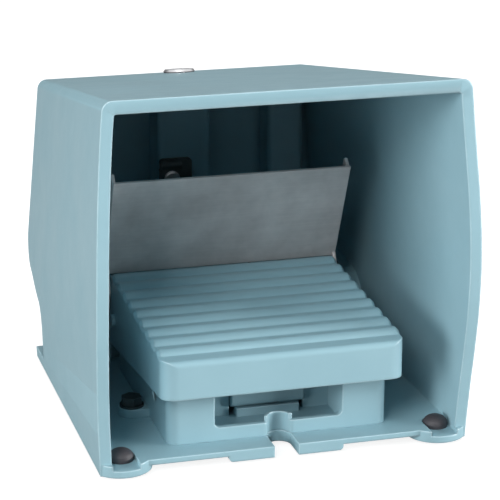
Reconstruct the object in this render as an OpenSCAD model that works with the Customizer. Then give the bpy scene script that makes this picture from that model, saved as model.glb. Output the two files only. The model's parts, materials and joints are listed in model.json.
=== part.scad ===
// Guarded industrial foot switch: a cast guard over a ribbed heel-hinged pedal with a toe latch.
// Construction frame: Y = 0 is the front edge of the guard's floor and Z = 0 the underside of its pads.
// place() moves that frame so that the origin is under the middle of the whole switch, on the ground.

/* [Guard shell] */
// Width across the guard at its floor
guard_w = 160; // [154:1:176]
// Height of the guard's front edge
guard_h = 158.7; // [150:0.1:175]
// Length from the front of the floor to the rear wall
guard_len = 197; // [192:1:215]
// Height of the sloping top at the rear wall
rear_h = 124; // [118:1:135]
// Width of the top at the front edge
top_front_w = 154; // [148:1:160]
// Width of the top at the rear wall
top_rear_w = 136; // [130:1:146]
// How far the side walls bow outwards
side_bow = 3.2; // [0:0.1:5]
// How far the front edges of the walls bow forwards
front_bow = 6.5; // [0:0.1:9]
// How far the top of the front edge leans forwards
front_lean = 4; // [0:0.1:8]
// Radius of the guard's long outer edges
edge_r = 4.5; // [3:0.5:8]
// Wall of the sides and rear
guard_wall = 5; // [4:0.1:6]
// Wall of the top
top_wall = 5.6; // [4:0.1:7]

/* [Guard rear] */
// Room behind the base for the cable gland, up to the rear face of the guard's low part
cable_room = 17.1; // [16:0.1:24]
// Height of the overhang's underside where it leaves the low part
neck_h = 31; // [30:0.5:36]
// Height of the overhang's underside at the rear
knee_h = 36; // [33:0.5:42]
// Radius of the overhang's lower rear corner
knee_r = 26; // [18:1:30]
// Radius of the hollow corner under the overhang
neck_r = 14; // [8:1:14]
// Width of the middle column that holds the rod socket
column_w = 26.8; // [24:0.2:32]
// Depth of the middle column
column_d = 17; // [16.5:0.5:24]
// Width of each outer column
rib_column_w = 18; // [12:0.5:20]
// Depth of each outer column
rib_column_d = 14; // [8:0.5:18]
// Distance of each outer column from the middle
rib_column_x = 52; // [46:0.5:54]
// Bore of the socket for a carrying rod
socket_d = 12; // [8:0.5:12]
// Depth of the rod socket
socket_depth = 36; // [24:1:36]

/* [Floor, pads and slot] */
// Top of the guard's floor
floor_top = 5; // [4.5:0.1:7]
// Thickness of the floor between its pads
floor_t = 2.4; // [2:0.1:3.5]
// Radius of the round pad under each foot
pad_r = 13; // [10:0.5:14]
// How far the rear pads reach behind the low part
lug_l = 20; // [19:0.5:26]
// Depth of the pockets that the feet's heads sit in
pocket_t = 2; // [1.5:0.1:2.5]
// Width of the open fixing slots
slot_w = 10.6; // [8.4:0.1:11]
// Depth of the front fixing slot
slot_depth = 17; // [14:0.5:18]
// Width of the thick tab around each slot
tab_w = 50.2; // [40:0.2:56]
// Length of that tab
tab_l = 21; // [18:0.5:24]

/* [Feet] */
// Distance of each foot from the side of the guard
foot_in = 10.5; // [9:0.5:13]
// Distance of the front feet from the front of the floor
foot_front = 8.5; // [7.5:0.5:11]
// Distance of the rear feet behind the low part
foot_rear = 11; // [8:0.5:12]
// Diameter of each foot
foot_d = 14; // [12:0.5:16]
// How far the feet stand below the pads
foot_drop = 2; // [1.5:0.1:4]
// Diameter of the hole for the foot's stem
foot_hole_d = 7; // [5:0.5:8]
// Diameter of the foot's domed head
foot_head_d = 10.6; // [9:0.2:12]

/* [Base housing] */
// Gap between each side of the base and the pedal's skirt
skirt_gap = 1.3; // [1:0.1:3]
// Front face of the base
base_front = 11.9; // [11:0.1:13]
// Height of the base's low deck
deck_h = 30; // [29:0.5:31]
// Height of its raised roof over the switches
roof_h = 35; // [34.5:0.1:35.5]
// Wall of the base
base_wall = 3.5; // [3:0.1:4]
// Width of the front window
window_w = 56.5; // [54:0.5:60]
// Height of the window's sill above the pads' underside
sill_h = 11; // [10:0.5:12]
// Thickness of the sill
sill_t = 3; // [2:0.1:4]
// Floor of the window's recess
recess_h = 8; // [7:0.1:8.4]
// Width of the slot through the base's front
base_slot_w = 9.2; // [8.4:0.1:11]
// Height of the half-round collar behind that slot
collar_h = 13.6; // [11.5:0.1:15]
// Wall of that collar
collar_t = 1.8; // [1.5:0.1:3]
// Thickness of the fixing lugs
lug_t = 4; // [3:0.1:5]
// Distance of the side fixing screws from the base's sides
lug_out = 6.6; // [6.4:0.1:7.5]
// Place of the side fixing screws behind the front of the floor
lug_y = 52; // [44:0.5:60]
// Distance of the rear fixing screws from the base's sides
rear_lug_in = 15.6; // [12:0.1:18]
// Diameter of the fixing screws
fix_d = 5; // [4:0.5:6]

/* [Pedal] */
// Width of the pedal
pedal_w = 105.8; // [104:0.2:107]
// Front face of the pedal
pedal_front = 1; // [0:0.1:2]
// How far the tread stops short of the base's rear
tread_short = 6.6; // [6:0.1:8]
// Height of the flat tread below the first rib
tread_h = 46.6; // [46:0.1:48]
// Rise of the tread towards the rear, in degrees
tread_rise = 3.35; // [2.5:0.05:4]
// Thickness of the tread
tread_t = 3.2; // [2.6:0.1:3.4]
// Thickness of the skirt
skirt_t = 3; // [2:0.1:3.2]
// Height of the skirt's lower edge at the front
skirt_front_h = 29.4; // [28:0.1:31]
// Height of the skirt's lower edge at the rear
skirt_rear_h = 18.8; // [17:0.1:20]
// Radius of the pedal's front corners
pedal_r = 7; // [4:0.5:9]
// Number of ribs on the tread
rib_n = 9; // [7:1:9]
// Place of the first rib
rib_first = 13; // [12:0.5:14]
// Radius of the ribs' round backs
rib_r = 5; // [4:0.1:6]
// Height of the ribs above the tread
rib_rise = 1.9; // [1:0.1:2.5]

/* [Pedal hinge] */
// Place of the hinge pin behind the front of the floor
hinge_y = 36.5; // [36:0.1:38]
// Height of the hinge pin
hinge_z = 19.5; // [19:0.1:20.5]
// Diameter of the hinge pin
hinge_d = 6; // [5:0.1:7]
// Wall of the bushes on the hinge pin
bush_wall = 1.2; // [0.8:0.1:2]
// Width of the pedal's hinge lug
lug_w = 32.2; // [28:0.2:34]
// Front-to-back thickness of the hinge lug
lug_d = 15; // [14:0.2:16]
// Radius of the lug's lower edges
lug_r = 3; // [1:0.1:4]
// How far the pedal turns from rest to its stop, in degrees
pedal_travel = 6; // [5:0.5:6]

/* [Toe latch] */
// Place of the latch pin behind the tread's rear edge
latch_behind = 0.2; // [0:0.1:1]
// Height of the latch pin
latch_z = 45; // [44.5:0.1:45.5]
// Diameter of the latch pin
latch_pin_d = 5; // [4:0.1:5.2]
// Forward lean of the latch plate, in degrees
latch_lean = 24.3; // [20:0.1:28]
// Height of the plate above the latch pin, along the plate
latch_top = 59.4; // [50:0.1:66]
// Lower edge of the plate's face above the latch pin, along the plate
latch_bottom = 6.5; // [5.5:0.1:9]
// Sheet thickness of the latch plate
sheet_t = 1.6; // [1:0.1:2]
// Distance of the plate's front face behind the latch pin's axis
latch_set = 3; // [2.8:0.1:3.2]
// Depth of the plate's side flanges
flange_d = 7; // [5:0.1:9]
// Length of the prop legs below the latch pin
prop_l = 26; // [24:0.5:27]
// Width of the prop legs
prop_w = 9.2; // [8:0.1:10]
// How far the latch turns back from rest, in degrees
latch_travel = 27; // [20:1:28]

/* [Switches] */
// Place of the plunger behind the front of the switches
plunger_in = 10.5; // [9:0.5:12]
// Diameter of the plunger
plunger_d = 8; // [6:0.5:9]
// Height of the plunger's top at rest
plunger_top = 41; // [40.5:0.1:41.2]
// Length of a snap switch
switch_l = 27.8; // [27:0.1:28.5]
// Thickness of a snap switch
switch_w = 10.3; // [9.8:0.1:11]
// Height of a snap switch
switch_h = 15.9; // [15:0.1:16.2]
// Distance between the two switches' middles
switch_pitch = 14; // [14:0.1:16]
// Diameter of the switches' buttons
button_d = 4; // [3:0.1:5]
// Length of the switches' terminals
tail_l = 5.5; // [4:0.1:7]
// Width of the terminal block
block_w = 44; // [40:1:46]
// Front-to-back thickness of the terminal block
block_d = 12; // [10:0.5:13]
// Height of the terminal block
block_h = 11; // [9:0.5:12]

/* [Springs and stops] */
// Distance between a stop buffer's axis and the spring's beside it
spring_in = 11; // [10.5:0.1:13]
// Place of the return springs behind the plunger
spring_behind = 20; // [18:0.5:21]
// Outer diameter of the return springs
spring_d = 12; // [10:0.5:13]
// Wire of the return springs
spring_wire = 1.4; // [1:0.1:1.8]
// Turns of a return spring
spring_turns = 5; // [4:0.5:6]
// Distance of the stop buffers from the base's sides
buffer_in = 7.6; // [7:0.1:9]
// Diameter of the stop buffers
buffer_d = 9; // [7:0.5:10]

/* [Cable gland] */
// Height of the cable entry's axis
gland_z = 17.5; // [17.5:0.1:18]
// Thread diameter of the gland
gland_d = 20; // [16:0.5:20]
// Width across the flats of the gland's body
gland_af = 24; // [22:0.5:24]
// Diameter of the cable passage
cable_d = 10; // [6:0.5:12]
// Length of the gland's thread inside the base
gland_in = 5; // [4:0.5:6]
// Thickness of the gland body's hexagon
gland_nut_t = 5; // [4:0.5:5]
// Length of the gland's rubber seal
seal_l = 8.8; // [8:0.1:9]

/* [Fits] */
// Radial clearance of running fits
run_gap = 0.05; // [0.02:0.01:0.1]
// Radial clearance of seated pins and screws
seat_gap = 0.02; // [0.01:0.01:0.05]
// Clearance between faces that pass each other
pass_gap = 0.5; // [0.4:0.05:0.6]
// Gap between pieces that just clear each other at rest
rest_gap = 0.3; // [0.2:0.05:0.4]

/* [Hidden] */
$fn = 48;

// Sizes that follow from what each piece holds or stands on
base_w = pedal_w - 2 * (skirt_t + skirt_gap);
base_x = base_w / 2;
window_rear = hinge_y + lug_d / 2 + 3.5;
roof_front = window_rear + 0.5;
chamber_front = roof_front + base_wall + 0.5;
switch_front = chamber_front + 1.5;
plunger_y = switch_front + plunger_in;
spring_y = plunger_y + spring_behind;
block_y = switch_front + switch_l + tail_l + 4;
roof_rear = block_y + base_wall - 0.3;
base_rear = block_y + block_d + 0.6 + gland_in + base_wall;
chamber_rear = base_rear - base_wall;
pedal_rear = base_rear - tread_short;
cheek_rear = base_rear + 0.1;
latch_y = pedal_rear + latch_behind;
rib_pitch = (pedal_rear - rib_first - 5.1) / (rib_n - 1);
neck_y = base_rear + cable_room;
lug_x = base_x + lug_out;
rear_lug_x = base_x - rear_lug_in;
buffer_x = base_x - buffer_in;
spring_x = buffer_x - spring_in;
foot_x = guard_w / 2 - foot_in;

// Colours
paint = [0.55, 0.72, 0.77];
steel = [0.62, 0.62, 0.66];
black = [0.10, 0.10, 0.11];
bronze = [0.70, 0.55, 0.30];

// ---- Guard's outline ----
function side_x(t, low_w, high_w, bow) = (low_w + (high_w - low_w) * t) / 2 + bow * sin(180 * t);
function front_y(t) = -front_lean * t - front_bow * pow(sin(180 * t), 2);
function arc(cx, cy, r, a0, a1, n) = [for (i = [0:n])
    let(a = a0 + (a1 - a0) * i / n) [cx + r * cos(a), cy + r * sin(a)]];
function flip(p) = [for (i = [len(p) - 1:-1:0]) [-p[i][0], p[i][1]]];

front_most = min([for (i = [0:60]) front_y(i / 60)]);
mid_y = (front_most + guard_len) / 2;
top_slope = (guard_h - rear_h) / (guard_len + front_lean);
mouth_y = front_most - 2;
mouth_h = guard_h + top_slope * (-front_lean - mouth_y);
function roof_z(y) = guard_h - top_slope * (y + front_lean);

module place() translate([0, -mid_y, foot_drop]) children();
// Stands a drawing made in Y and Z upright and extrudes it across, middle on X = 0
module across(w) rotate([90, 0, 90]) linear_extrude(w, center = true) children();
module along_x(r, l) rotate([0, 90, 0]) cylinder(r = r, h = l, center = true);
module along_y(r, l) rotate([-90, 0, 0]) cylinder(r = r, h = l);
module mirrored() {
    children();
    mirror([1, 0, 0]) children();
}
module rounded_rect(w, l, r) {
    square([w - 2 * r, l], center = true);
    square([w, l - 2 * r], center = true);
    for (x = [-1, 1], y = [-1, 1]) translate([x * (w / 2 - r), y * (l / 2 - r)]) circle(r);
}

// ---- Guard housing ----
// One cross-section of the guard, drawn inset by d
module section(h, low_w, high_w, bow, d, top_d) {
    r = max(edge_r - d, 1);
    top = h - top_d;
    side = [for (i = [0:8]) let(z = (top - r) * i / 8) [side_x(z / h, low_w, high_w, bow) - d, z]];
    corner = arc(side_x((top - r) / h, low_w, high_w, bow) - d - r, top - r, r, 10, 90, 6);
    right = concat(side, corner);
    polygon(concat(right, flip(right)));
}
module slab(y) translate([0, y, 0]) rotate([90, 0, 0]) linear_extrude(0.01) children();

// The whole form, lofted from the mouth to the rounded rear; d and top_d are the wall to take off
module guard_form(d, top_d) {
    hull() {
        slab(mouth_y) section(mouth_h, guard_w, top_front_w, side_bow, d, top_d);
        for (a = [0:22.5:90]) {
            inset = edge_r * (1 - cos(a));
            y = guard_len - d - edge_r * (1 - sin(a));
            slab(y) section(roof_z(y), guard_w, top_rear_w, 0, d + inset, top_d + inset);
        }
    }
}

// Side view of the guard, cut by its bowed front edge and its stepped rear; d is the wall to take off
module guard_side(d) {
    front = [for (i = [0:20]) [front_y(i / 20) - (d > 0 ? 10 : 0), guard_h * i / 20]];
    knee = arc(guard_len - knee_r, knee_h + knee_r, knee_r - d, 0, -90, 8);
    neck = arc(neck_y + neck_r, neck_h - neck_r, neck_r + d, 90, 180, 6);
    polygon(concat([[neck_y - d, 0], [front[0][0], 0]], front,
                   [[front[20][0], 2 * guard_h], [guard_len - d, 2 * guard_h]], knee, neck));
}

module column(x, w, depth) {
    r = 2.5;
    y1 = guard_len - guard_wall - depth;
    translate([x - w / 2 + r, y1, 0]) cube([w - 2 * r, depth + 1, guard_h]);
    translate([x - w / 2, y1 + r, 0]) cube([w, depth + 1 - r, guard_h]);
    for (s = [-1, 1]) translate([x + s * (w / 2 - r), y1 + r, 0]) cylinder(r = r, h = guard_h);
}

column_front = guard_len - guard_wall - column_d;
socket_y = column_front + 10;
earth_stud_x = -7;
earth_stud_z = 76.2;
module guard_columns() intersection() {
    guard_form(guard_wall - 0.01, top_wall - 0.01);
    across(2 * guard_w) guard_side(guard_wall - 0.01);
    union() {
        column(0, column_w, column_d);
        mirrored() column(rib_column_x, rib_column_w, rib_column_d);
    }
}

rear_lug_y = base_rear + 5.5;
module fix_places() for (p = [[lug_x, lug_y], [rear_lug_x, rear_lug_y]], s = [-1, 1])
    translate([s * p[0], p[1], 0]) children();

slot_y = slot_depth - slot_w / 2;
rear_slot_y = neck_y + lug_l - slot_depth + slot_w / 2;
foot_rows = [foot_front, neck_y + foot_rear];
module foot_places() for (y = foot_rows, s = [-1, 1]) translate([s * foot_x, y, 0]) children();

// Catch rib that props the latch's legs: its front face, and its top face at the prop's swing
prop_out = [latch_y + prop_w / 2 * cos(latch_lean) + prop_l * sin(latch_lean),
            latch_z + prop_w / 2 * sin(latch_lean) - prop_l * cos(latch_lean)];
catch_front = prop_out[0] - 1.3;
catch_top = prop_out[1] - 1.9;
catch_x = pedal_w / 2 + rest_gap + sheet_t / 2;
module catch_rib() across(8) polygon([
    [catch_front, 0], [catch_front, catch_top - 1], [catch_front + 1, catch_top],
    [neck_y - 1, catch_top], [neck_y - 1, 0]]);

// Slot with a round end at y1, open towards y0
module open_slot(y0, y1) translate([0, 0, -1]) linear_extrude(2 * floor_top + 2) {
    translate([0, y1]) circle(d = slot_w);
    translate([-slot_w / 2, min(y0, y1)]) square([slot_w, abs(y1 - y0)]);
}

// Thick tab around a slot, with rounded lower corners
module slot_tab(y0, l) translate([0, y0 + l, 0]) rotate([90, 0, 0]) linear_extrude(l) {
    r = 1.8;
    translate([-tab_w / 2, r]) square([tab_w, floor_top - r]);
    translate([-tab_w / 2 + r, 0]) square([tab_w - 2 * r, floor_top]);
    for (x = [-1, 1]) translate([x * (tab_w / 2 - r), r]) circle(r);
}

head_z = floor_top - pocket_t;
// Floor plate with its tabs and pads, and all that is cut through them
module floor_plates() {
    pocket_r = foot_head_d / 2 + 0.4;
    difference() {
        intersection() {
            guard_form(0, 0);
            union() {
                translate([-guard_w, 0, floor_top - floor_t]) cube([2 * guard_w, neck_y - 1, floor_t]);
                slot_tab(0, tab_l);
                slot_tab(neck_y - guard_wall - 1, lug_l + guard_wall + 1);
                mirrored() translate([foot_x, foot_front, 0]) cylinder(r = pad_r, h = floor_top);
                mirrored() {
                    translate([foot_x, 0, 0]) cube([foot_in + 4, foot_front + pad_r - 2, floor_top]);
                    translate([foot_x - pad_r, neck_y - guard_wall - 6, 0])
                        cube([pad_r + foot_in + 4, lug_l + guard_wall + 6, floor_top]);
                }
            }
        }
        open_slot(-1, slot_y);
        open_slot(neck_y + lug_l + 1, rear_slot_y);
        foot_places() translate([0, 0, -1]) cylinder(d = foot_hole_d, h = 3 * floor_top);
        // Pockets that sink the feet's heads, open to the front and to the rear
        mirrored() translate([foot_x, 0, head_z]) linear_extrude(10) {
            translate([0, foot_front]) circle(pocket_r);
            translate([-pocket_r, -20]) square([2 * pocket_r, foot_front + 20]);
            translate([0, foot_rows[1]]) circle(pocket_r);
            translate([-pocket_r, foot_rows[1]]) square([2 * pocket_r, 30]);
        }
        fix_places() cylinder(d = fix_d - 0.8, h = floor_top + 1);
    }
}

// Walls and top in one, open in front and below
module guard_shell() difference() {
    intersection() {
        guard_form(0, 0);
        across(2 * guard_w) guard_side(0);
    }
    intersection() {
        guard_form(guard_wall, top_wall);
        across(2 * guard_w) guard_side(guard_wall);
    }
}

// The real guard is one casting; it is split level with the floor's top into its hood and its floor
module below_floor_top() translate([-guard_w, -50, -1]) cube([2 * guard_w, 2 * guard_len, 1 + floor_top]);

module guard_floor() color(paint) place() {
    difference() {
        intersection() {
            guard_shell();
            below_floor_top();
        }
        // The rear wall stands on the floor between the pads
        translate([-foot_x + pad_r, neck_y - guard_wall - 1, -1])
            cube([2 * (foot_x - pad_r), 10, 1 + floor_top - floor_t]);
    }
    floor_plates();
}

module guard_housing() {
    gland_hole = gland_af + 6;
    color(paint) place() difference() {
        union() {
            guard_shell();
            guard_columns();
            mirrored() translate([catch_x, 0, 0]) catch_rib();
        }
        below_floor_top();
        translate([0, socket_y, roof_z(socket_y) - socket_depth])
            cylinder(d = socket_d, h = socket_depth + 20);
        translate([earth_stud_x, column_front - 1, earth_stud_z]) along_y(2, 12);
        // Arch for the cable gland in the rear of the low part
        translate([0, neck_y - guard_wall - 8, gland_z]) along_y(gland_hole / 2, guard_wall + 8 + neck_r);
        translate([-gland_hole / 2, neck_y - guard_wall - 8, 0])
            cube([gland_hole, guard_wall + 8 + neck_r, gland_z]);
    }
}

// ---- Feet and the guard's small pieces ----
module rubber_feet() {
    color(black) place() foot_places() rotate_extrude() polygon(concat(
        [[0, -foot_drop], [foot_d / 2 - 0.8, -foot_drop], [foot_d / 2, -foot_drop + 0.8], [foot_d / 2, 0],
         [foot_hole_d / 2 - 0.1, 0], [foot_hole_d / 2 - 0.1, head_z], [foot_head_d / 2, head_z],
         [foot_head_d / 2, head_z + 1.5]],
        [for (a = [15:15:90]) [foot_head_d / 2 * cos(a), head_z + 1.5 + 3.6 * sin(a)]]));
}

plug_d = socket_d + 3.4;
module on_socket() translate([0, socket_y, roof_z(socket_y)]) rotate([-atan(top_slope), 0, 0]) children();
module plug_washer() color(black) place() on_socket() translate([0, 0, 0.1]) difference() {
    cylinder(d = plug_d - 0.6, h = 0.4);
    translate([0, 0, -1]) cylinder(d = socket_d, h = 3);
}
module socket_plug() color(steel) place() on_socket() {
    difference() {
        translate([0, 0, 0.5]) cylinder(d1 = plug_d, d2 = plug_d - 1.4, h = 1.1);
        translate([-plug_d, -0.7, 1]) cube([2 * plug_d, 1.4, 2]);
    }
    translate([0, 0, -socket_d / 2]) cylinder(d = socket_d - 2.6, h = socket_d / 2 + 1);
}

// Outer earth terminal on the middle column: a saddle that holds the earth wire under a screw
module at_stud() translate([earth_stud_x, column_front, earth_stud_z]) children();
module earth_saddle() color(black) place() at_stud() difference() {
    union() {
        translate([2, 0, 3.4]) rotate([90, 0, 0]) linear_extrude(2.2) rounded_rect(16, 13, 2);
        translate([0, 0.2, 6.6]) along_x(3, 10);
    }
    translate([-20, 0, -20]) cube([40, 10, 40]);
    translate([0, -4, 0]) along_y(2.2, 8);
    translate([0, 0.2, 6.6]) along_x(1.8, 30);
}
module earth_saddle_screw() color(steel) place() at_stud() translate([0, -2.2, 0]) difference() {
    union() {
        translate([0, -0.8, 0]) along_y(3.9, 0.8);
        translate([0, -3, 0]) along_y(3.4, 2.3);
        translate([0, -1, 0]) along_y(2 - seat_gap, 12);
    }
    translate([-4, -4, -0.5]) cube([8, 2.2, 1]);
}

// ---- Base housing ----
cover_t = 2;
gasket_t = 1;
cover_y = (chamber_front + chamber_rear) / 2;
inner_floor = floor_top + cover_t + gasket_t;
boss_x = base_x - base_wall - 3.7;
boss_rows = [chamber_front + 4.5, chamber_rear - 4.5];
module boss_places() mirrored() for (y = boss_rows) translate([boss_x, y, 0]) children();
ear_in = lug_w / 2 + pass_gap;
ear_front = hinge_y - lug_d / 2 + 3;
earth_x = base_x - 15.6;
earth_y = chamber_rear - 11;
earth_z = deck_h - base_wall - 4;
striker_h = plunger_top + rest_gap;
function tread_z(y) = tread_h + tan(tread_rise) * (y - rib_first);
function under_z(y) = tread_z(y) - tread_t;
// How far a point of the pedal falls between rest and its stop
function fall(y, z) = (y - hinge_y) * sin(pedal_travel) + (z - hinge_z) * (1 - cos(pedal_travel));
stroke = fall(plunger_y, striker_h);

module base_body() intersection() {
    translate([0, (base_front + base_rear) / 2, floor_top])
        linear_extrude(roof_h) rounded_rect(base_w, base_rear - base_front, 5);
    across(2 * base_w) polygon([
        [0, 0], [0, deck_h], [roof_front, deck_h], [roof_front, roof_h],
        [roof_rear, roof_h], [roof_rear, deck_h], [base_rear + 5, deck_h], [base_rear + 5, 0]]);
}

// Fixing lugs: one at each side and two at the rear, beside the cable gland
module base_lugs() {
    translate([0, 0, floor_top]) fix_places() cylinder(r = 5.8, h = lug_t);
    mirrored() {
        translate([base_x - 1, lug_y - 5.8, floor_top]) cube([lug_x - base_x + 1, 11.6, lug_t]);
        translate([rear_lug_x - 5.8, base_rear - 1, floor_top])
            cube([11.6, rear_lug_y - base_rear + 1, lug_t]);
    }
}

// Web between the two snap switches, hung from the roof behind the plunger
module switch_web() across(switch_pitch - switch_w - 2 * 0.1) polygon([
    [chamber_front - 1, inner_floor + 1], [chamber_front + switch_l + 3, inner_floor + 1],
    [chamber_front + switch_l + 3, roof_h - 1], [plunger_y + 7.5, roof_h - 1],
    [plunger_y + 7.5, inner_floor + switch_h - 1], [chamber_front - 1, inner_floor + switch_h - 1]]);

switch_holes = [[switch_front + 2.8, inner_floor + 3], [switch_front + 25, inner_floor + 13.3]];

module base_housing() {
    slot_r = base_slot_w / 2;
    mouth_r = 2.2;
    color(paint) place() difference() {
        union() {
            difference() {
                base_body();
                // Window recess under the front of the pedal
                translate([-window_w / 2, base_front + sill_t, recess_h])
                    cube([window_w, window_rear - base_front - sill_t, roof_h]);
                translate([0, base_front + sill_t + 1, sill_h]) rotate([90, 0, 0]) linear_extrude(sill_t + 2)
                    translate([0, roof_h / 2]) rounded_rect(window_w, roof_h, 2.5);
                // Switch chamber and the cored-out front corners, open below
                translate([0, cover_y, 0]) linear_extrude(deck_h - base_wall)
                    rounded_rect(base_w - 2 * base_wall, chamber_rear - chamber_front, 3);
                translate([-base_x + base_wall, chamber_front, 0])
                    cube([base_w - 2 * base_wall, roof_rear - base_wall - chamber_front,
                          roof_h - base_wall]);
                mirrored() translate([window_w / 2 + base_wall, base_front + base_wall, 0])
                    cube([base_x - window_w / 2 - 2 * base_wall, roof_front - base_front - base_wall - 3,
                          deck_h - base_wall]);
            }
            base_lugs();
            // Hinge ears on both sides of the lug, and the pad that stops the lug at rest
            mirrored() translate([ear_in, ear_front, recess_h - 1])
                cube([base_x - 1 - ear_in, 2 * (hinge_y - ear_front), deck_h - recess_h]);
            translate([-lug_w / 2 + 2, hinge_y - lug_d / 2, recess_h - 1])
                cube([lug_w - 4, 4.5, hinge_z - lug_d / 2 - rest_gap - recess_h + 1]);
            // Half-round collar behind the sill, around the fixing bolt
            intersection() {
                translate([0, slot_y, floor_top]) cylinder(r = slot_r + collar_t, h = collar_h - floor_top);
                translate([-base_x, base_front + sill_t / 2, 0]) cube([base_w, base_rear, base_rear]);
            }
            boss_places() translate([0, 0, inner_floor]) cylinder(r = 4.2, h = deck_h - inner_floor - 1);
            // Thick wall around the cable entry, and the pad of the earth screw
            intersection() {
                translate([0, chamber_rear - 5, gland_z]) along_y(gland_d / 2 + 3, 6);
                translate([-50, 0, inner_floor]) cube([100, base_rear, deck_h - inner_floor - 1]);
            }
            translate([earth_x, earth_y, earth_z]) cylinder(r = 5, h = deck_h - earth_z - 1);
            // Seats under the return springs' cups
            mirrored() translate([spring_x, spring_y, roof_h - 8]) cylinder(d = spring_d + 5, h = 7);
            intersection() {
                switch_web();
                translate([-50, 0, 0]) cube([100, roof_rear - 1, roof_h - 1]);
            }
        }
        // Slot for the fixing bolt, with a rounded mouth
        linear_extrude(roof_h) {
            translate([0, slot_y + 1]) circle(slot_r);
            translate([-slot_r, 0]) square([2 * slot_r, slot_y + 1]);
            difference() {
                translate([-slot_r - mouth_r, base_front - 1]) square([2 * (slot_r + mouth_r), mouth_r + 1]);
                for (x = [-1, 1]) translate([x * (slot_r + mouth_r), base_front + mouth_r]) circle(mouth_r);
            }
        }
        // Hinge pin
        translate([0, hinge_y, hinge_z]) along_x(hinge_d / 2 + seat_gap, base_w + 2);
        boss_places() cylinder(r = 1.5, h = 18);
        mirrored() {
            translate([spring_x, spring_y, roof_h - 5]) cylinder(d = spring_d + 0.8, h = 6);
            translate([buffer_x, plunger_y, roof_h - base_wall - 1]) cylinder(d = 4, h = 8);
        }
        fix_places() cylinder(d = fix_d + 0.4, h = floor_top + lug_t + 1);
        // Plunger's bush, switch screws and cable entry
        translate([0, plunger_y, roof_h - base_wall - 1]) cylinder(d = plunger_d + 3, h = 8);
        for (h = switch_holes) translate([0, h[0], h[1]]) along_x(1.55, 20);
        translate([0, chamber_rear - 6, gland_z]) along_y(gland_d / 2, base_wall + 8);
        translate([earth_x, earth_y, 0]) cylinder(r = 1.7, h = deck_h - 2);
    }
}

module base_screws() color(black) place() translate([0, 0, floor_top + lug_t]) fix_places() {
    cylinder(r = 5.3, h = 1);
    translate([0, 0, 1]) rotate([0, 0, 30]) cylinder(d = 8 / cos(30), h = 3.5, $fn = 6);
    translate([0, 0, -lug_t - floor_top + 0.6]) cylinder(d = fix_d - 0.85, h = lug_t + floor_top - 0.6);
}

module cover_plate(h) difference() {
    translate([0, cover_y, 0]) linear_extrude(h)
        rounded_rect(base_w - 2 * base_wall - 0.6, chamber_rear - chamber_front - 0.6, 3);
    boss_places() translate([0, 0, -1]) cylinder(r = 1.7, h = h + 2);
}
module base_cover() color(steel) place() translate([0, 0, floor_top]) difference() {
    cover_plate(cover_t);
    boss_places() translate([0, 0, -0.01]) cylinder(r1 = 3, r2 = 1.7, h = 1.3);
}
module cover_gasket() color(black) place() translate([0, 0, floor_top + cover_t]) difference() {
    cover_plate(gasket_t);
    translate([0, cover_y, -1]) linear_extrude(gasket_t + 2)
        rounded_rect(base_w - 2 * base_wall - 20, chamber_rear - chamber_front - 18, 3);
    // Hollow under the gland's thread
    translate([0, chamber_rear - gland_in - 1, gland_z - floor_top - cover_t])
        along_y(gland_d / 2 + rest_gap, gland_in + 3);
}
module cover_screws() color(steel) place() boss_places() translate([0, 0, floor_top]) {
    cylinder(r1 = 2.9, r2 = 1.48, h = 1.3);
    cylinder(r = 1.48, h = 12);
}

// ---- Pedal and its hinge ----
module hinge_pin() color(steel) place() translate([0, hinge_y, hinge_z]) along_x(hinge_d / 2, base_w - 0.8);

bush_r = hinge_d / 2 + bush_wall;
module hinge_bushes() color(bronze) place() mirrored() translate([lug_w / 2 - 6, hinge_y, hinge_z])
    difference() {
        along_x(bush_r, 12);
        along_x(hinge_d / 2 + run_gap, 13);
    }

// Side view of the pedal, without its ribs
module pedal_side() {
    r = 2.6;
    front_top = tread_z(pedal_front + r);
    polygon(concat(
        [[pedal_front, skirt_front_h], [pedal_front + 10, skirt_front_h - 1]],
        [[cheek_rear - 5, skirt_rear_h]],
        arc(cheek_rear - 5, skirt_rear_h + 5, 5, -80, 0, 5),
        [[cheek_rear, latch_z]],
        arc(cheek_rear - 6, latch_z, 6, 15, 90, 5),
        [[pedal_rear, latch_z + 6], [pedal_rear, tread_z(pedal_rear)]],
        arc(pedal_front + r, front_top - r, r, 90, 180, 6)));
}
// Space inside the pedal, open below and between the cheeks
module pedal_hollow() polygon([
    [pedal_front + 3.5, 0], [pedal_front + 3.5, under_z(pedal_front + 3.5)],
    [pedal_rear, under_z(pedal_rear)], [pedal_rear, 2 * tread_h],
    [2 * cheek_rear, 2 * tread_h], [2 * cheek_rear, 0]]);

module pedal_lug() across(lug_w) {
    y0 = hinge_y - lug_d / 2;
    y1 = hinge_y + lug_d / 2;
    z0 = hinge_z - lug_d / 2;
    polygon(concat([[y0, under_z(y0) + 1]], arc(y0 + lug_r, z0 + lug_r, lug_r, 180, 270, 5),
                   arc(y1 - lug_r, z0 + lug_r, lug_r, 270, 360, 5), [[y1, under_z(y1) + 1]]));
}

// One rib across the whole tread, chamfered at its ends
module tread_rib(y) translate([0, y, tread_z(y) + rib_rise - rib_r]) {
    chamfer = 1.2;
    along_x(rib_r, pedal_w - 2 * chamfer);
    mirrored() translate([pedal_w / 2 - chamfer, 0, 0]) rotate([0, 90, 0])
        cylinder(r1 = rib_r, r2 = rib_r - chamfer, h = chamfer);
}

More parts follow.
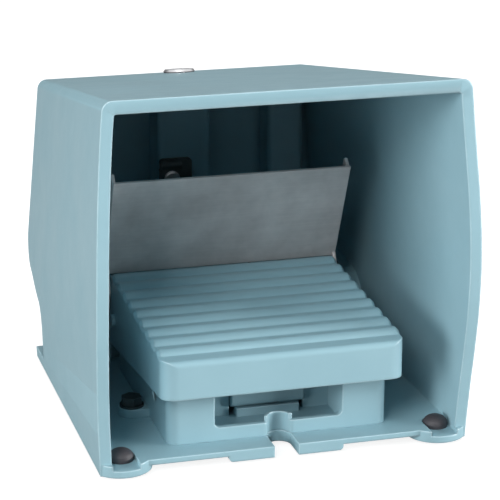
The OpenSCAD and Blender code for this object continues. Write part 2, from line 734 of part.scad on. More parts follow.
module pedal() {
    inner_x = pedal_w / 2 - skirt_t;
    color(paint) place() difference() {
        union() {
            difference() {
                intersection() {
                    across(pedal_w) pedal_side();
                    translate([0, pedal_front + cheek_rear, 0]) linear_extrude(2 * tread_h)
                        rounded_rect(pedal_w, 2 * cheek_rear, pedal_r);
                    // Rounded long edges of the tread
                    translate([0, rib_first, tread_h]) rotate([90 + tread_rise, 0, 0])
                        linear_extrude(6 * cheek_rear, center = true)
                            translate([0, -tread_h]) rounded_rect(pedal_w, 2 * tread_h, 1);
                }
                across(2 * inner_x) pedal_hollow();
            }
            pedal_lug();
            // Stiffening ribs under the tread
            mirrored() across_at(lug_w / 2 + 1, 2.4) polygon([
                [hinge_y, under_z(hinge_y) + 1], [pedal_rear - 8, under_z(pedal_rear) + 1],
                [pedal_rear - 8, under_z(pedal_rear) - 4], [hinge_y, under_z(hinge_y) - 4]]);
            // Bosses that stop the latch's legs at the end of their swing
            mirrored() translate([pedal_w / 2 + 0.3, latch_y - prop_w / 2 - 4.2, latch_z - 12])
                along_x(3, 2.6);
            // Bosses over the plunger and inside the return springs
            translate([0, plunger_y, striker_h + 3.2])
                cylinder(d = 14, h = under_z(plunger_y) - striker_h - 2.2);
            mirrored() translate([spring_x, spring_y, under_z(spring_y) - 4])
                cylinder(d = spring_d - 2 * spring_wire - 1, h = 5);
            intersection() {
                for (i = [0:rib_n - 1]) tread_rib(rib_first + i * rib_pitch);
                translate([-pedal_w / 2, 0, 0]) cube([pedal_w, pedal_rear, 3 * tread_h]);
                translate([0, rib_first, tread_h - tread_t / 2]) rotate([tread_rise, 0, 0])
                    translate([-pedal_w / 2, -2 * cheek_rear, 0]) cube([pedal_w, 4 * cheek_rear, tread_h]);
            }
        }
        translate([0, hinge_y, hinge_z]) along_x(bush_r + seat_gap, lug_w + 2);
        translate([0, latch_y, latch_z]) along_x(latch_pin_d / 2 + seat_gap, pedal_w + 2);
        translate([0, plunger_y, striker_h]) cylinder(d = 6, h = 7);
        // Relief for the latch spring's coil
        translate([11, latch_y, latch_z]) along_x(latch_pin_d / 2 + 2.2, 12);
    }
}
// Extrudes a drawing made in Y and Z across a wall that starts at x
module across_at(x, w) translate([x + w / 2, 0, 0]) across(w) children();

module striker_screw() color(steel) place() translate([0, plunger_y, striker_h]) {
    cylinder(d = 10 / cos(30), h = 3.2, $fn = 6);
    cylinder(d = 6 - 2 * seat_gap, h = 6.8);
}

// ---- Springs ----
// Helix of wire swept as a tube; r is the coil's mean radius
function ring(c, n, b, w, sides) = [for (k = [0:sides - 1])
    let(a = 360 * k / sides) c + w / 2 * (cos(a) * n + sin(a) * b)];
module tube(path, w, sides) {
    rings = len(path);
    points = [for (i = [0:rings - 1])
        let(t = path[min(i + 1, rings - 1)] - path[max(i - 1, 0)], u = t / norm(t),
            f = abs(u[2]) < 0.9 ? [0, 0, 1] : [1, 0, 0], c = cross(u, f), n = c / norm(c), b = cross(n, u))
        each ring(path[i], n, b, w, sides)];
    sides_f = [for (i = [0:rings - 2], k = [0:sides - 1])
        let(a = i * sides + k, b = i * sides + (k + 1) % sides)
        each [[a, a + sides, b], [b, a + sides, b + sides]]];
    caps = [[for (k = [0:sides - 1]) k], [for (k = [sides - 1:-1:0]) (rings - 1) * sides + k]];
    polyhedron(points, concat(sides_f, caps));
}
function helix(r, turns, z0, z1, n) = [for (i = [0:turns * n]) let(a = 360 * i / n, t = i / (turns * n))
    [r * cos(a), r * sin(a), z0 + (z1 - z0) * t]];

module return_springs() color(steel) place() mirrored() translate([spring_x, spring_y, 0])
    tube(helix((spring_d - spring_wire) / 2, spring_turns, roof_h - 5 + spring_wire / 2 + 0.1,
               under_z(spring_y) - spring_wire / 2 - 0.8, 14), spring_wire, 6);

module stop_buffers() color(black) place() mirrored() translate([buffer_x, plunger_y, roof_h]) {
    cylinder(d = buffer_d, h = under_z(plunger_y) - roof_h - stroke - 0.2);
    translate([0, 0, -base_wall - 0.5]) cylinder(d = 4 - 2 * seat_gap, h = base_wall + 1);
}

// ---- Plunger and snap switches ----
bar_top = roof_h - base_wall - 1.3;
bar_low = inner_floor + switch_h + rest_gap + stroke + 0.3;
module plunger() color(steel) place() translate([0, plunger_y, 0]) {
    translate([0, 0, bar_top - 0.5]) cylinder(d = plunger_d, h = plunger_top - bar_top + 0.5);
    translate([-switch_pitch / 2 - 3, -3, bar_low]) cube([switch_pitch + 6, 6, bar_top - bar_low]);
}
module plunger_bush() color(bronze) place() translate([0, plunger_y, roof_h - base_wall]) difference() {
    union() {
        cylinder(d = plunger_d + 3 - 2 * seat_gap, h = base_wall);
        translate([0, 0, base_wall]) cylinder(d = plunger_d + 7, h = 1);
    }
    translate([0, 0, -1]) cylinder(d = plunger_d + 2 * run_gap, h = base_wall + 3);
}
module plunger_boot() color(black) place() translate([0, plunger_y, roof_h + 1]) rotate_extrude()
    translate([plunger_d / 2, 0]) polygon([
        [0.2, 0], [3.4, 0], [3.4, 1], [1.6, 1.8], [2.8, 2.6], [1.2, 3.4], [1.2, 4.6], [0.2, 4.6]]);

module each_switch() for (s = [-1, 1]) translate([s * switch_pitch / 2, 0, 0]) children();
module switch_bodies() color(black) place() each_switch() difference() {
    translate([-switch_w / 2, switch_front, inner_floor + 0.2]) cube([switch_w, switch_l, switch_h - 0.2]);
    translate([0, plunger_y, inner_floor + switch_h - 5]) cylinder(d = button_d + 2 * run_gap, h = 6);
    for (h = switch_holes) translate([0, h[0], h[1]]) along_x(1.55, switch_w + 2);
}
button_low = inner_floor + switch_h - 1.4;
module switch_buttons() color([0.75, 0.2, 0.15]) place() each_switch() translate([0, plunger_y, button_low])
    cylinder(d = button_d, h = bar_low - rest_gap - button_low);
module switch_terminals() color([0.8, 0.7, 0.4]) place() each_switch() for (z = [3, 7.5, 12])
    translate([-0.4, switch_front + switch_l, inner_floor + z]) cube([0.8, tail_l, 2.8]);
module switch_screws() color(steel) place() for (h = switch_holes) translate([0, h[0], h[1]]) {
    along_x(1.5, switch_pitch + switch_w + 2);
    translate([switch_pitch / 2 + switch_w / 2 + 0.9, 0, 0]) along_x(2.6, 1.8);
    translate([-switch_pitch / 2 - switch_w / 2 - 1, 0, 0]) rotate([0, 90, 0]) rotate([0, 0, 30])
        cylinder(d = 5.5 / cos(30), h = 2, $fn = 6, center = true);
}

// The block hangs from the deck with its screws facing down, so that they're reached with the cover off
terminal_pitch = block_w / 4 - 0.5;
block_top = deck_h - base_wall;
module terminal_places() for (i = [-1.5:1:1.5])
    translate([i * terminal_pitch, block_y + block_d / 2, block_top - block_h]) children();
module terminal_block() color([0.85, 0.85, 0.8]) place() difference() {
    translate([-block_w / 2, block_y, block_top - block_h]) cube([block_w, block_d, block_h]);
    terminal_places() translate([0, 0, -1]) cylinder(d = 6, h = 8);
}
module terminal_screws() color(steel) place() terminal_places() difference() {
    translate([0, 0, 2]) cylinder(d = 5.6, h = 5);
    translate([-4, -0.5, 1]) cube([8, 1, 2]);
}
module earth_screw() color([0.75, 0.7, 0.4]) place() translate([earth_x, earth_y, earth_z]) difference() {
    union() {
        translate([0, 0, -1]) cylinder(r = 4.4, h = 1);
        translate([0, 0, -4]) cylinder(r = 3.6, h = 3.2);
        translate([0, 0, -1]) cylinder(r = 1.7 - seat_gap, h = 5);
    }
    translate([-4, -0.5, -5]) cube([8, 1, 2.2]);
    translate([-0.5, -4, -5]) cube([1, 8, 2.2]);
}

// ---- Cable gland ----
module at_gland() translate([0, base_rear, gland_z]) children();
module gland_washer() color(black) place() at_gland() difference() {
    along_y(gland_d / 2 + 2, 1);
    translate([0, -1, 0]) along_y(gland_d / 2 + 0.1, 3);
}
module gland_body() color(steel) place() at_gland() difference() {
    union() {
        translate([0, -base_wall - gland_in, 0]) along_y(gland_d / 2 - seat_gap, base_wall + gland_in + 1.5);
        translate([0, 1, 0]) rotate([-90, 0, 0]) cylinder(d = gland_af / cos(30), h = gland_nut_t, $fn = 6);
        translate([0, 5.5, 0]) along_y(gland_d / 2 - 1.5, 6);
    }
    translate([0, -base_wall - gland_in - 1, 0]) along_y(cable_d / 2 + 0.8, 36);
    translate([0, 4, 0]) along_y(gland_d / 2 - 3, 12);
}
module gland_seal() color(black) place() at_gland() translate([0, 4.1, 0]) difference() {
    along_y(gland_d / 2 - 3.1, seal_l);
    translate([0, -1, 0]) along_y(cable_d / 2, seal_l + 2);
}
module gland_cap() color(steel) place() at_gland() translate([0, 6.6, 0]) difference() {
    union() {
        rotate([-90, 0, 0]) cylinder(d = (gland_af - 1) / cos(30), h = 5.4, $fn = 6);
        translate([0, 5, 0]) rotate([-90, 0, 0])
            cylinder(r1 = gland_af / 2 - 0.6, r2 = gland_d / 2 - 2, h = 4.4);
    }
    translate([0, -1, 0]) along_y(gland_d / 2 - 1.5 + seat_gap, 6.2);
    translate([0, 4, 0]) along_y(gland_d / 2 - 2.6, 3);
    translate([0, 4, 0]) along_y(cable_d / 2 + 0.8, 12);
}

// ---- Toe latch ----
module at_latch() translate([0, latch_y, latch_z]) children();
// Lean frame: Z runs up along the plate and Y is its rear normal
module leaned() at_latch() rotate([latch_lean, 0, 0]) children();
latch_in = pedal_w / 2 + rest_gap;

// One side flange with its pin eye and prop leg
module latch_cheek() {
    rear = latch_set + flange_d;
    half = prop_w / 2;
    spread = asin(half / prop_l);
    polygon(concat(
        [[latch_set, latch_top - 1.5], [latch_set, 9], [-half, 2]],
        arc(0, 0, prop_l, 270 - spread, 270 + spread, 4),
        [[half, -2], [rear - 0.5, 9], [rear, latch_top - 0.5], [rear - 1.2, latch_top + 1],
         [rear - 2.4, latch_top + 0.4]]));
}
module latch_plate() color(steel) place() leaned() difference() {
    union() {
        translate([-latch_in - sheet_t, latch_set, latch_bottom])
            cube([2 * (latch_in + sheet_t), sheet_t, latch_top - latch_bottom]);
        mirrored() translate([latch_in, 0, 0]) rotate([90, 0, 90]) linear_extrude(sheet_t) latch_cheek();
    }
    along_x(latch_pin_d / 2 + run_gap, 2 * pedal_w);
}
clip_x = latch_in + sheet_t + 0.2;
module latch_pin() color(steel) place() at_latch() difference() {
    along_x(latch_pin_d / 2, 2 * (clip_x + 2.2));
    mirrored() translate([clip_x + 0.45, 0, 0]) difference() {
        along_x(latch_pin_d, 0.9);
        along_x(latch_pin_d / 2 - 0.6, 2);
    }
}
module latch_clips() color(black) place() at_latch() mirrored() translate([clip_x + 0.45, 0, 0])
    difference() {
        along_x(latch_pin_d / 2 + 2, 0.8);
        along_x(latch_pin_d / 2 - 0.58, 2);
        translate([0, 0, -4]) cube([2, 3, 8], center = true);
    }
module latch_spring() {
    wire = 1.2;
    r = latch_pin_d / 2 + 0.4 + wire / 2;
    turns = 4;
    behind = latch_set + sheet_t + wire / 2 + 0.4;
    coil = [for (i = [0:turns * 14])
        let(a = -90 - 360 * i / 14) [8 + wire * 1.08 * i / 14, r * cos(a), r * sin(a)]];
    end_x = 8 + wire * 1.08 * turns;
    arm = [for (u = [2, 10, 20]) [end_x + 0.8, behind * cos(latch_lean) - u * sin(latch_lean),
                                  behind * sin(latch_lean) + u * cos(latch_lean)]];
    color(steel) place() at_latch()
        tube(concat([[8, -14, -r]], coil, [[end_x + 0.4, r + 1, -r + 1.2]], arm), wire, 6);
}

guard_housing();
guard_floor();
rubber_feet();
socket_plug();
plug_washer();
earth_saddle();
earth_saddle_screw();
base_housing();
base_screws();
base_cover();
cover_gasket();
cover_screws();
hinge_pin();
hinge_bushes();
pedal();
striker_screw();
return_springs();
stop_buffers();
plunger();
plunger_bush();
plunger_boot();
switch_bodies();
switch_buttons();
switch_terminals();
switch_screws();
terminal_block();
terminal_screws();
earth_screw();
gland_body();
gland_washer();
gland_seal();
gland_cap();
latch_plate();
latch_pin();
latch_clips();
latch_spring();
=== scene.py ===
import bpy
import bmesh
import json
import math
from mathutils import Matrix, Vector


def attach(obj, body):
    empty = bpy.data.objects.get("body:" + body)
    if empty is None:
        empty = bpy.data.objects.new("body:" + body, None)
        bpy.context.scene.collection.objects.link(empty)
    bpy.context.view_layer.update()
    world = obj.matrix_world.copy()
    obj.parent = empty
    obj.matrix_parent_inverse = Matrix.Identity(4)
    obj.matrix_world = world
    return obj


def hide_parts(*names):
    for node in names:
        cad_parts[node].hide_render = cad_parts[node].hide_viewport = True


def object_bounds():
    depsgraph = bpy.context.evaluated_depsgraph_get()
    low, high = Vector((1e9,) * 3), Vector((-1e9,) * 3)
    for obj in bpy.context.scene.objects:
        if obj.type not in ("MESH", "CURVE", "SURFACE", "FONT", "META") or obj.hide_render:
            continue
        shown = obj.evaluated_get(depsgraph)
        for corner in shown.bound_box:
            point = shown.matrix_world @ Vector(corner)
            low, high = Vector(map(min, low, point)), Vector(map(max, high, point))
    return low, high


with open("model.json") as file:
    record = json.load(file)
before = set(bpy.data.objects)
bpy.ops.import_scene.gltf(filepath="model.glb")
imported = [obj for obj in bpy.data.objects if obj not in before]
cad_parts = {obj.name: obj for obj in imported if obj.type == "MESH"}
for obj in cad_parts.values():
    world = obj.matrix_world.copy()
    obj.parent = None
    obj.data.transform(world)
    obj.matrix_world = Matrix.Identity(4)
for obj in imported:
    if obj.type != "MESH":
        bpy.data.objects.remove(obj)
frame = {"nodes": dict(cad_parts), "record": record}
cadLow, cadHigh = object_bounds()
nodes = frame["nodes"]
scene = bpy.context.scene
print("loaded", len(nodes), "parts")

cameraSettings = {
    "place": (-0.23012, -0.85468, 0.34008),
    "looks": (0.2586, 0.9192, -0.2971),
    "lens": 146.8,
    "sensor": 36.0,
    "reach": 20.0,
}


def addCamera(s):
    data = bpy.data.cameras.new("camera")
    data.lens = s["lens"]
    data.sensor_width = s["sensor"]
    data.clip_end = s["reach"]
    camera = bpy.data.objects.new("camera", data)
    scene.collection.objects.link(camera)
    camera.location = s["place"]
    camera.rotation_euler = Vector(s["looks"]).to_track_quat("-Z", "Y").to_euler()
    scene.camera = camera


def newMaterial(name):
    m = bpy.data.materials.new(name)
    m.use_nodes = True
    return m, m.node_tree, m.node_tree.nodes["Principled BSDF"]


# Each lamp: where it hangs, its two sides, and its power in watts
lampAim = (0.0, 0.0, 0.07)
lampSettings = {
    "high": {"place": (-0.70, -0.90, 1.71), "sides": (0.7, 0.7), "power": 4.0},
    "key": {"place": (-0.95, -1.35, 1.15), "sides": (0.7, 0.7), "power": 15.0},
    "leftFill": {"place": (-1.71, -0.76, 0.40), "sides": (0.9, 0.6), "power": 24.0},
    "rightFill": {"place": (1.71, -0.80, 0.34), "sides": (0.9, 0.5), "power": 46.0},
    "top": {"place": (0.0, 0.10, 2.0), "sides": (0.8, 0.8), "power": 9.0},
    "rear": {"place": (0.2, 1.3, 1.5), "sides": (0.9, 0.9), "power": 10.0},
}


def addLamp(name, s):
    data = bpy.data.lights.new(name, "AREA")
    data.shape = "RECTANGLE"
    data.size, data.size_y = s["sides"]
    data.energy = s["power"]
    lamp = bpy.data.objects.new(name, data)
    scene.collection.objects.link(lamp)
    lamp.location = s["place"]
    lamp.rotation_euler = (Vector(lampAim) - Vector(s["place"])).to_track_quat("-Z", "Y").to_euler()


def join(tree, *pairs):  # links sockets two by two
    for a, b in pairs:
        tree.links.new(a, b)


def mathNode(tree, operation, a, b):  # a is a socket, b a socket or a number
    n = tree.nodes.new("ShaderNodeMath")
    n.operation = operation
    tree.links.new(a, n.inputs[0])
    if isinstance(b, (int, float)):
        n.inputs[1].default_value = b
    else:
        tree.links.new(b, n.inputs[1])
    return n.outputs[0]


worldSettings = {"colour": (0.93, 0.97, 1.0), "strength": 0.07}


# A dim sky lights the object, and the eye, mirrors and glass see plain white
def addWorld(s):
    world = bpy.data.worlds.new("studio")
    scene.world = world
    world.use_nodes = True
    tree = world.node_tree
    sky = tree.nodes["Background"]
    sky.inputs["Color"].default_value = (*s["colour"], 1.0)
    sky.inputs["Strength"].default_value = s["strength"]
    path = tree.nodes.new("ShaderNodeLightPath")
    seen = mathNode(tree, "MAXIMUM", path.outputs["Is Camera Ray"], path.outputs["Is Transmission Ray"])
    seen = mathNode(tree, "MAXIMUM", seen, path.outputs["Is Glossy Ray"])
    white = tree.nodes.new("ShaderNodeEmission")
    mix = tree.nodes.new("ShaderNodeMixShader")
    join(tree, (seen, mix.inputs[0]), (sky.outputs[0], mix.inputs[1]), (white.outputs[0], mix.inputs[2]),
         (mix.outputs[0], tree.nodes["World Output"].inputs["Surface"]))


floorSettings = {
    "half": 3.0,
    "below": 0.0003,
    "colour": (0.34, 0.34, 0.34),
    "white": 0.86,  # glow that only the camera sees
    "roughness": 0.9,
    "specular": 0.1,
}


def addFloor(s):
    h = s["half"]
    mesh = bpy.data.meshes.new("floor")
    mesh.from_pydata([(-h, -h, 0), (h, -h, 0), (h, h, 0), (-h, h, 0)], [], [(0, 1, 2, 3)])
    floor = bpy.data.objects.new("floor", mesh)
    scene.collection.objects.link(floor)
    floor.location.z = cadLow[2] - s["below"]
    m, tree, paint = newMaterial("floor")
    paint.inputs["Base Color"].default_value = (*s["colour"], 1.0)
    paint.inputs["Roughness"].default_value = s["roughness"]
    paint.inputs["Specular IOR Level"].default_value = s["specular"]
    glow = tree.nodes.new("ShaderNodeEmission")
    path = tree.nodes.new("ShaderNodeLightPath")
    add = tree.nodes.new("ShaderNodeAddShader")
    join(tree, (mathNode(tree, "MULTIPLY", path.outputs["Is Camera Ray"], s["white"]), glow.inputs["Strength"]),
         (paint.outputs[0], add.inputs[0]), (glow.outputs[0], add.inputs[1]),
         (add.outputs[0], tree.nodes["Material Output"].inputs["Surface"]))
    mesh.materials.append(m)


flagSettings = {"left": -1.5, "right": 2.2, "front": 0.1, "back": 1.2, "low": -0.02, "high": 1.0, "grey": 0.05}


def addFlag(s):  # dark cards behind and to the left, which only gloss shows
    corners = [(s["left"], s["front"]), (s["left"], s["back"]), (s["right"], s["back"])]
    mesh = bpy.data.meshes.new("flag")
    mesh.from_pydata([(*c, s["low"]) for c in corners] + [(*c, s["high"]) for c in corners], [],
                     [(0, 1, 4, 3), (1, 2, 5, 4)])
    card = bpy.data.objects.new("flag", mesh)
    scene.collection.objects.link(card)
    m, tree, paint = newMaterial("flag")
    paint.inputs["Base Color"].default_value = (s["grey"], s["grey"], s["grey"], 1.0)
    mesh.materials.append(m)
    card.visible_camera = card.visible_diffuse = card.visible_shadow = False


scene.view_settings.view_transform = "Standard"
addCamera(cameraSettings)
addWorld(worldSettings)
addFloor(floorSettings)
for lampName, lamp in lampSettings.items():
    addLamp(lampName, lamp)
addFlag(flagSettings)
print("stage ready")


def newGroup(name, inputs, outputs):
    g = bpy.data.node_groups.new(name, "ShaderNodeTree")
    for n, kind, value in inputs:
        g.interface.new_socket(n, in_out="INPUT", socket_type=kind).default_value = value
    for n, kind in outputs:
        g.interface.new_socket(n, in_out="OUTPUT", socket_type=kind)
    return g, g.nodes.new("NodeGroupInput"), g.nodes.new("NodeGroupOutput")


def addNoise(tree, vector, scale, detail, roughness=0.5):
    n = tree.nodes.new("ShaderNodeTexNoise")
    n.inputs["Detail"].default_value = detail
    n.inputs["Roughness"].default_value = roughness
    tree.links.new(vector, n.inputs["Vector"])
    if isinstance(scale, (int, float)):
        n.inputs["Scale"].default_value = scale
    else:
        tree.links.new(scale, n.inputs["Scale"])
    return n.outputs["Fac"]


def mapped(tree, value, low, high, outLow=0.0, outHigh=1.0):  # stretches low..high to outLow..outHigh
    n = tree.nodes.new("ShaderNodeMapRange")
    tree.links.new(value, n.inputs["Value"])
    for key, number in (("From Min", low), ("From Max", high), ("To Min", outLow), ("To Max", outHigh)):
        n.inputs[key].default_value = number
    return n.outputs["Result"]


grainSettings = {
    "cloudDetail": 4.0,
    "cloudRoughness": 0.6,
    "cloudSpan": (0.32, 0.68),  # noise values that become 0 and 1
    "fineDetail": 3.0,
    "waveScale": 170.0,
    "waveDetail": 1.0,
}


# Surface of a cast or moulded piece: a slow cloud from 0 to 1, and a height of fine pebble on long waves
def buildGrain(s):
    g, gin, gout = newGroup("surfaceGrain",
                            [("Fine", "NodeSocketFloat", 900.0), ("Cloud", "NodeSocketFloat", 26.0),
                             ("Waves", "NodeSocketFloat", 0.25)],
                            [("Cloud", "NodeSocketFloat"), ("Height", "NodeSocketFloat")])
    at = g.nodes.new("ShaderNodeTexCoord").outputs["Object"]
    cloud = addNoise(g, at, gin.outputs["Cloud"], s["cloudDetail"], s["cloudRoughness"])
    fine = addNoise(g, at, gin.outputs["Fine"], s["fineDetail"])
    wave = addNoise(g, at, s["waveScale"], s["waveDetail"])
    height = mathNode(g, "ADD", fine, mathNode(g, "MULTIPLY", wave, gin.outputs["Waves"]))
    join(g, (mapped(g, cloud, *s["cloudSpan"]), gout.inputs["Cloud"]), (height, gout.inputs["Height"]))
    return g


# Settings of the mask for the painted highlight on outer edges
edgeHighlightSettings = {
    "turn": (0.985, 0.78),  # cosine between rounded and flat normal, off the edge and on it
    "openness": (0.80, 0.95),  # share of open sky that tells an outer edge from an inner corner
    "reach": 0.003,
    "samples": 6,
    "breakDetail": 4.0,
    "breakRoughness": 0.65,
    "breakSpan": (0.30, 0.62),
    "leastHighlight": 0.35,
}


# Where a rounded normal turns away from the flat one, on an outer edge: 1 on it, 0 off it, broken up by noise; the
# mask of the enamel's painted edge highlight
def buildEdgeHighlight(s):
    g, gin, gout = newGroup("edgeHighlightFinder",
                            [("Rounded", "NodeSocketVector", (0.0, 0.0, 1.0)), ("Break", "NodeSocketFloat", 60.0)],
                            [("Mask", "NodeSocketFloat")])
    flat = g.nodes.new("ShaderNodeNewGeometry").outputs["True Normal"]
    dot = g.nodes.new("ShaderNodeVectorMath")
    dot.operation = "DOT_PRODUCT"
    at = g.nodes.new("ShaderNodeTexCoord").outputs["Object"]
    broken = addNoise(g, at, gin.outputs["Break"], s["breakDetail"], s["breakRoughness"])
    join(g, (gin.outputs["Rounded"], dot.inputs[0]), (flat, dot.inputs[1]))
    mask = mapped(g, dot.outputs["Value"], *s["turn"])
    opening = g.nodes.new("ShaderNodeAmbientOcclusion")
    opening.samples = s["samples"]
    opening.only_local = True
    opening.inputs["Distance"].default_value = s["reach"]
    mask = mathNode(g, "MULTIPLY", mask, mapped(g, opening.outputs["AO"], *s["openness"]))
    highlightShare = mapped(g, broken, *s["breakSpan"], s["leastHighlight"], 1.0)
    join(g, (mathNode(g, "MULTIPLY", mask, highlightShare), gout.inputs["Mask"]))
    return g


surfaceGrain = buildGrain(grainSettings)
edgeHighlightFinder = buildEdgeHighlight(edgeHighlightSettings)


def addGroup(tree, group, **values):
    n = tree.nodes.new("ShaderNodeGroup")
    n.node_tree = group
    for key, value in values.items():
        n.inputs[key].default_value = value
    return n


def blend(tree, factor, a, b):  # a and b are colours, or sockets that carry one
    n = tree.nodes.new("ShaderNodeMix")
    n.data_type = "RGBA"
    tree.links.new(factor, n.inputs[0])
    for slot, c in ((6, a), (7, b)):
        if isinstance(c, tuple):
            n.inputs[slot].default_value = (*c, 1.0)
        else:
            tree.links.new(c, n.inputs[slot])
    return n.outputs[2]


def addBump(tree, height, strength, distance, under, paint):
    bump = tree.nodes.new("ShaderNodeBump")
    bump.inputs["Strength"].default_value = strength
    bump.inputs["Distance"].default_value = distance
    tree.links.new(height, bump.inputs["Height"])
    if under is not None:
        tree.links.new(under, bump.inputs["Normal"])
    tree.links.new(bump.outputs[0], paint.inputs["Normal"])


enamelSettings = {
    "colour": (0.285, 0.458, 0.520),
    "cloudColour": (0.262, 0.430, 0.492),
    # pale colour of the painted edge highlight
    "paintedHighlightColour": (0.66, 0.86, 0.93),
    "paintedHighlightStrength": 0.65,
    "roughness": (0.30, 0.40),
    "specular": 0.45,
    "grain": 850.0,
    "bump": 0.07,
    "bumpDepth": 0.0002,
    "edgeRadius": 0.0011,
    "edgeSamples": 8,
}


# Blue-grey enamel over a casting: clouded colour, a painted highlight on outer edges, and a pebbled skin over the
# sand's waves
def enamel(s):
    m, tree, paint = newMaterial("enamel")
    grain = addGroup(tree, surfaceGrain, Fine=s["grain"])
    soft = tree.nodes.new("ShaderNodeBevel")
    soft.samples = s["edgeSamples"]
    soft.inputs["Radius"].default_value = s["edgeRadius"]
    edge = addGroup(tree, edgeHighlightFinder)
    join(tree, (soft.outputs[0], edge.inputs["Rounded"]))
    body = blend(tree, grain.outputs["Cloud"], s["colour"], s["cloudColour"])
    # The pale edge colour is a painted highlight, laid on outer edges by the mask
    highlightShare = mathNode(tree, "MULTIPLY", edge.outputs["Mask"], s["paintedHighlightStrength"])
    join(tree, (blend(tree, highlightShare, body, s["paintedHighlightColour"]), paint.inputs["Base Color"]),
         (mapped(tree, grain.outputs["Cloud"], 0.0, 1.0, *s["roughness"]), paint.inputs["Roughness"]))
    paint.inputs["Specular IOR Level"].default_value = s["specular"]
    addBump(tree, grain.outputs["Height"], s["bump"], s["bumpDepth"], soft.outputs[0], paint)
    return m


# Bare metal: colour clouded between dark and light, roughness that follows it, drawn lines along one axis
def metal(name, dark, light, roughness, metallic=1.0, stretch=(1.0, 1.0, 1.0), lines=500.0, cloud=40.0, bump=0.1):
    m, tree, paint = newMaterial(name)
    at = tree.nodes.new("ShaderNodeTexCoord").outputs["Object"]
    turn = tree.nodes.new("ShaderNodeMapping")
    turn.inputs["Scale"].default_value = stretch
    tree.links.new(at, turn.inputs["Vector"])
    drawn = addNoise(tree, turn.outputs[0], lines, 3.0)
    clouded = mapped(tree, addNoise(tree, at, cloud, 4.0, 0.6), 0.34, 0.66)
    body = mathNode(tree, "ADD", mathNode(tree, "MULTIPLY", clouded, 0.7), mathNode(tree, "MULTIPLY", drawn, 0.3))
    join(tree, (blend(tree, body, dark, light), paint.inputs["Base Color"]),
         (mapped(tree, clouded, 0.0, 1.0, roughness + 0.08, roughness - 0.04), paint.inputs["Roughness"]))
    paint.inputs["Metallic"].default_value = metallic
    addBump(tree, drawn, bump, 0.0001, None, paint)
    return m


def moulded(name, colour, paler, roughness, fine=1200.0, bump=0.15):
    m, tree, paint = newMaterial(name)
    grain = addGroup(tree, surfaceGrain, Fine=fine, Cloud=60.0, Waves=0.2)
    join(tree, (blend(tree, grain.outputs["Cloud"], colour, paler), paint.inputs["Base Color"]))
    paint.inputs["Roughness"].default_value = roughness
    addBump(tree, grain.outputs["Height"], bump, 0.0002, None, paint)
    return m


finishes = {
    "enamel": enamel(enamelSettings),
    "stainless": metal("stainless", (0.50, 0.455, 0.445), (0.86, 0.79, 0.775), 0.46, metallic=0.20,
                       stretch=(0.04, 1.0, 1.0), lines=1100.0, cloud=30.0, bump=0.18),
    "zinc": metal("zincPlate", (0.50, 0.51, 0.54), (0.70, 0.70, 0.70), 0.34),
    "steel": metal("steel", (0.40, 0.40, 0.41), (0.56, 0.56, 0.57), 0.30),
    "spring_steel": metal("springSteel", (0.12, 0.12, 0.13), (0.24, 0.24, 0.25), 0.35),
    "brass": metal("brass", (0.60, 0.43, 0.18), (0.76, 0.58, 0.30), 0.30),
    "nickel": metal("nickel", (0.58, 0.56, 0.52), (0.72, 0.70, 0.66), 0.24),
    "rubber": moulded("rubber", (0.030, 0.028, 0.034), (0.052, 0.050, 0.056), 0.60),
    "switch_black": moulded("switchBlack", (0.018, 0.018, 0.02), (0.03, 0.03, 0.033), 0.45),
    "button_red": moulded("buttonRed", (0.42, 0.03, 0.02), (0.50, 0.05, 0.03), 0.35),
    "block_grey": moulded("blockGrey", (0.48, 0.48, 0.44), (0.58, 0.58, 0.53), 0.45),
}
# Pieces deep in the guard's shade get a dark, teal-tinted steel in place of their slot's usual finish: painted
# shade
paintedShadeSteel = metal("steelPaintedShade", (0.035, 0.050, 0.055), (0.07, 0.09, 0.095), 0.50, metallic=0.5)
paintedShadeParts = {"base_screws": paintedShadeSteel, "earth_saddle": paintedShadeSteel}

slotOf = {p["node"]: p["material_slot"] for p in frame["record"]["subparts"]}
for name, piece in nodes.items():
    piece.data.materials.clear()
    piece.data.materials.append(paintedShadeParts.get(name, finishes[slotOf[name]]))
print("finishes set")

plateSettings = {
    "weld": 0.00001,
    "flat": math.radians(0.4),  # faces that meet at less become one
    "sharp": math.radians(32.0),  # edges sharper than this are broken
    "radius": 0.0004,
    "segments": 2,
}


def breakEdges(piece, s):  # of the bent plate
    weld = piece.modifiers.new("weld", "WELD")
    weld.merge_threshold = s["weld"]
    flatten = piece.modifiers.new("flatten", "DECIMATE")
    flatten.decimate_type = "DISSOLVE"
    flatten.angle_limit = s["flat"]
    soften = piece.modifiers.new("soften", "BEVEL")
    soften.width = s["radius"]
    soften.segments = s["segments"]
    soften.limit_method = "ANGLE"
    soften.angle_limit = s["sharp"]
    soften.use_clamp_overlap = False


breakEdges(nodes["latch_plate"], plateSettings)
print("plate edges broken")

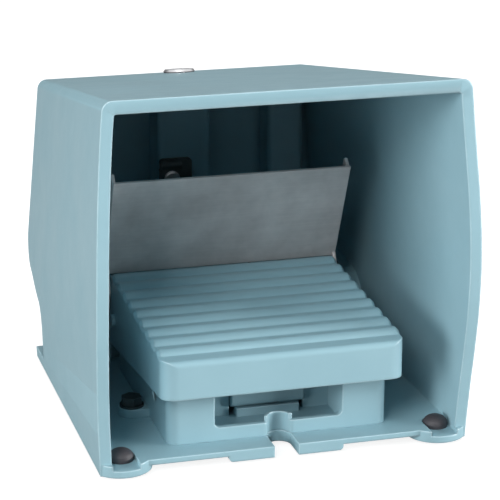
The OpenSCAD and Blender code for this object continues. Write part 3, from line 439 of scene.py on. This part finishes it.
guardSettings = {
    "weld": 0.000002,
    "flat": 0.002,  # faces that meet at less, in radians, become one
    "rimRadius": 0.0010,
    "rimSegments": 3,
    "rimDepth": 0.012,  # an edge this near the foremost point is one of the mouth's
    "rimFoot": 0.010,  # height above the ground under which edges stay sharp
    "shortest": 0.0009,  # shorter edges stay sharp
    "sharp": 0.6,  # least angle between two faces, in radians
}


def welded(node, distance):  # a merged copy of a node's mesh, as an object of its own
    mesh = nodes[node].data.copy()
    form = bmesh.new()
    form.from_mesh(mesh)
    bmesh.ops.remove_doubles(form, verts=form.verts, dist=distance)
    form.to_mesh(mesh)
    form.free()
    piece = bpy.data.objects.new(node + "_copy", mesh)
    scene.collection.objects.link(piece)
    return piece


# The hood and the floor are one casting: their union, with the edges of the mouth rounded over
def makeGuard(s):
    hood, floor = (welded(node, s["weld"]) for node in ("guard_housing", "guard_floor"))
    union = hood.modifiers.new("union", "BOOLEAN")
    union.operation = "UNION"
    union.solver = "EXACT"
    union.object = floor
    bpy.context.view_layer.update()
    mesh = bpy.data.meshes.new_from_object(hood.evaluated_get(bpy.context.evaluated_depsgraph_get()))
    for part in (hood, floor):
        bpy.data.objects.remove(part)
    form = bmesh.new()
    form.from_mesh(mesh)
    bmesh.ops.remove_doubles(form, verts=form.verts, dist=s["weld"])
    bmesh.ops.dissolve_limit(form, angle_limit=s["flat"], verts=form.verts, edges=form.edges)
    front = min(v.co.y for v in form.verts) + s["rimDepth"]
    above = cadLow[2] + s["rimFoot"]
    rim = [e for e in form.edges if len(e.link_faces) == 2 and e.calc_length() > s["shortest"]
           and abs(e.calc_face_angle_signed()) > s["sharp"]
           and max(v.co.y for v in e.verts) < front and min(v.co.z for v in e.verts) > above]
    bmesh.ops.bevel(form, geom=rim, offset=s["rimRadius"], segments=s["rimSegments"], profile=0.5,
                    affect="EDGES", clamp_overlap=True)
    bmesh.ops.triangulate(form, faces=form.faces)
    form.to_mesh(mesh)
    form.free()
    piece = bpy.data.objects.new("guard", mesh)
    scene.collection.objects.link(piece)
    mesh.materials.clear()
    mesh.materials.append(finishes["enamel"])
    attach(piece, "base")
    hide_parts("guard_housing", "guard_floor")


makeGuard(guardSettings)
print("guard joined")
